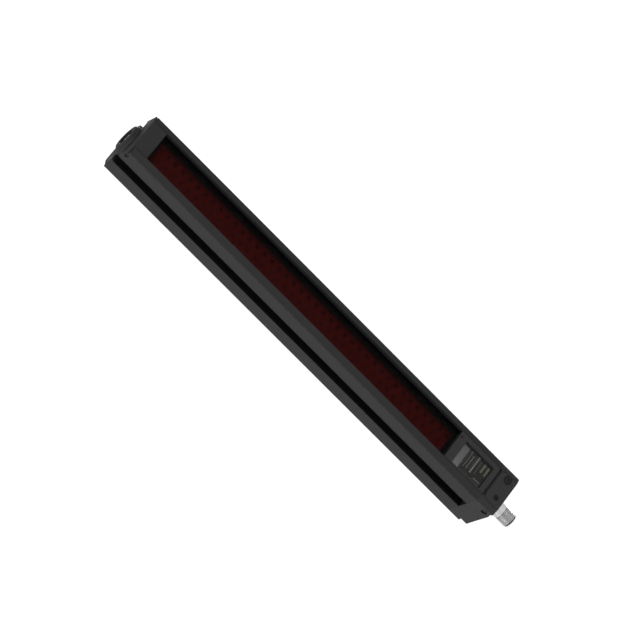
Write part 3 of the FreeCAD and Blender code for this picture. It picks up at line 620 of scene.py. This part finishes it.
def display_pane():
    low, high = span("display_pane")
    pane = box((low.x, low.y + AXIS_DEPTH, low.z), (high.x, PRINT_DEPTH - PANE_GAP, high.z))
    show("display_pane_clear", pane, "display_pane")


# Screws and connector


def face_screws():
    """The raised pan head and the small sunk screw of the bottom cap's face plate."""
    low, high = span("cap_face_screws")
    large = cross_driven(face_screw(PAN_HEAD, 64), CROSS_SIZE, *CROSS_HEIGHTS)
    large = facing_front(large, high.x - PAN_RADIUS, 0.0, (low.z + high.z) / 2)
    small = carved(face_screw(SUNK_HEAD, 48), hexagon(SUNK_SOCKET, SUNK_SOCKET_FLOOR, CUT_CLEAR))
    small = facing_front(small, low.x + SUNK_RADIUS, 0.0, SUNK_HEIGHT)
    show("cap_face_screws_turned", joined(large, small), "cap_face_screws")


def face_screw(head, steps):
    """A head on a plain shank, from the head's profile."""
    shank = head[-1][0]
    return lathe([*head, (shank, -FACE_SCREW_LENGTH), (0, -FACE_SCREW_LENGTH)], steps)


def connector():
    """Threaded shell of the round connector, with a real thread below its plain collar."""
    low, high = span("connector_shell")
    end, top, root = low.z, high.z, CONNECTOR_RADIUS - THREAD_DEPTH
    (lead_in, lead_up), (mouth_out, mouth_up) = LEAD_CHAMFER, SOCKET_CHAMFER
    shell = lathe([(0, top), (CONNECTOR_RADIUS, top), (CONNECTOR_RADIUS, 0), (COLLAR_RADIUS, 0),
                   (COLLAR_RADIUS, THREAD_TOP + THREAD_RUN_IN), (root, THREAD_TOP), (root, end + lead_up),
                   (root - lead_in, end), (SOCKET_RADIUS + mouth_out, end), (SOCKET_RADIUS, end + mouth_up),
                   (SOCKET_RADIUS, end + SOCKET_DEPTH), (0, end + SOCKET_DEPTH)])
    nut = rounded(hexagon(NUT_RADIUS, -NUT_HEIGHT, 0), NUT_ROUNDING)
    ridge = thread(root, end + THREAD_RUN_IN, THREAD_TOP)
    show("connector_shell_turned", joined(shell, nut, ridge), "connector_shell")


def thread(root, low, high, steps=48):
    """Helical ridge with a triangular section on a core of radius root."""
    mesh = bmesh.new()
    foot, half = root - THREAD_OVERLAP, THREAD_PITCH * THREAD_SHARE
    corners = [(foot, low), (CONNECTOR_RADIUS, low + half), (foot, low + 2 * half)]
    face = mesh.faces.new([mesh.verts.new((radius * MM, 0, height * MM)) for radius, height in corners])
    turns = int((high - low) / THREAD_PITCH)
    bmesh.ops.spin(mesh, geom=[face, *face.edges, *face.verts], cent=(0, 0, 0), axis=(0, 0, 1),
                   dvec=(0, 0, THREAD_PITCH * MM / steps), angle=turns * FULL_TURN, steps=turns * steps)
    bmesh.ops.recalc_face_normals(mesh, faces=mesh.faces)
    return mesh


case()
pivot_boss()
front_window()
beam_rows()
display_pane()
panel()
face_screws()
connector()


# Stage


def behind_the_bar(tree, seen, lit, level):
    """Mixes two shaders: the camera and reflections see one, white at a level, and other rays see lit."""
    path, mix = tree.nodes.new("ShaderNodeLightPath"), tree.nodes.new("ShaderNodeMixShader")
    rays = [path.outputs[kind] for kind in ("Is Camera Ray", "Is Glossy Ray", "Is Transmission Ray")]
    total = rays[0]
    for ray in rays[1:]:
        larger = tree.nodes.new("ShaderNodeMath")
        larger.operation = "MAXIMUM"
        tree.links.new(total, larger.inputs[0])
        tree.links.new(ray, larger.inputs[1])
        total = larger.outputs[0]
    seen.inputs["Color"].default_value = (1, 1, 1, 1)
    seen.inputs["Strength"].default_value = level
    tree.links.new(total, mix.inputs[0])
    tree.links.new(lit, mix.inputs[1])
    return mix


def stage():
    """Pale floor that the camera sees as white, but for the bar's shadow."""
    mesh = bmesh.new()
    bmesh.ops.create_grid(mesh, x_segments=1, y_segments=1, size=FLOOR_SIZE)
    bmesh.ops.translate(mesh, vec=(0, 0, span("connector_shell")[0].z * MM), verts=mesh.verts)
    data = bpy.data.meshes.new("floor")
    mesh.to_mesh(data)
    mesh.free()
    floor = bpy.data.objects.new("floor", data)
    bpy.context.scene.collection.objects.link(floor)
    finish = Finish("floor_white", Roughness=0.9, Base_Color=grey(FLOOR_TONE))
    tree = finish.tree
    glow, both = tree.nodes.new("ShaderNodeEmission"), tree.nodes.new("ShaderNodeAddShader")
    surface = finish.shader.outputs[0]
    mix = behind_the_bar(tree, glow, surface, FLOOR_GLOW)
    tree.links.new(surface, both.inputs[0])
    tree.links.new(glow.outputs[0], both.inputs[1])
    tree.links.new(both.outputs[0], mix.inputs[2])
    tree.links.new(mix.outputs[0], tree.nodes["Material Output"].inputs["Surface"])
    data.materials.append(finish.material)


def lamp(name, where, target, size, power):
    """Square soft lamp at a place, in metres, turned to a target."""
    light = bpy.data.lights.new(name, "AREA")
    light.size, light.energy = size, power
    thing = bpy.data.objects.new(name, light)
    thing.location = where
    thing.rotation_euler = (Vector(target) - Vector(where)).to_track_quat("-Z", "Y").to_euler()
    thing.visible_camera = False
    bpy.context.scene.collection.objects.link(thing)


def surround(level):
    """World that lights the object at a level and shows as white behind it."""
    world = bpy.data.worlds.new("surround")
    bpy.context.scene.world = world
    world.use_nodes = True
    tree = world.node_tree
    tree.nodes.clear()
    light, white, out = (tree.nodes.new(kind) for kind in ("ShaderNodeBackground", "ShaderNodeBackground",
                                                           "ShaderNodeOutputWorld"))
    light.inputs["Color"].default_value = (1, 1, 1, 1)
    light.inputs["Strength"].default_value = level
    mix = behind_the_bar(tree, white, light.outputs[0], 1.0)
    tree.links.new(white.outputs[0], mix.inputs[2])
    tree.links.new(mix.outputs[0], out.inputs["Surface"])


def camera():
    """Camera at the photograph's place, which lies on its side as the bar does there."""
    eye = bpy.data.cameras.new("camera")
    eye.lens, eye.sensor_width = CAMERA_LENS, SENSOR
    eye.clip_start, eye.clip_end = 0.1, 50.0
    thing = bpy.data.objects.new("camera", eye)
    thing.location = Vector(CAMERA_PLACE) * MM
    thing.rotation_euler = [math.radians(angle) for angle in CAMERA_TURN]
    bpy.context.scene.collection.objects.link(thing)
    bpy.context.scene.camera = thing


stage()
for name, (where, size, power) in LAMPS.items():
    lamp(name, where, LAMP_TARGET, size, power)
surround(SURROUND)
camera()
bpy.context.scene.view_settings.view_transform = "Standard"
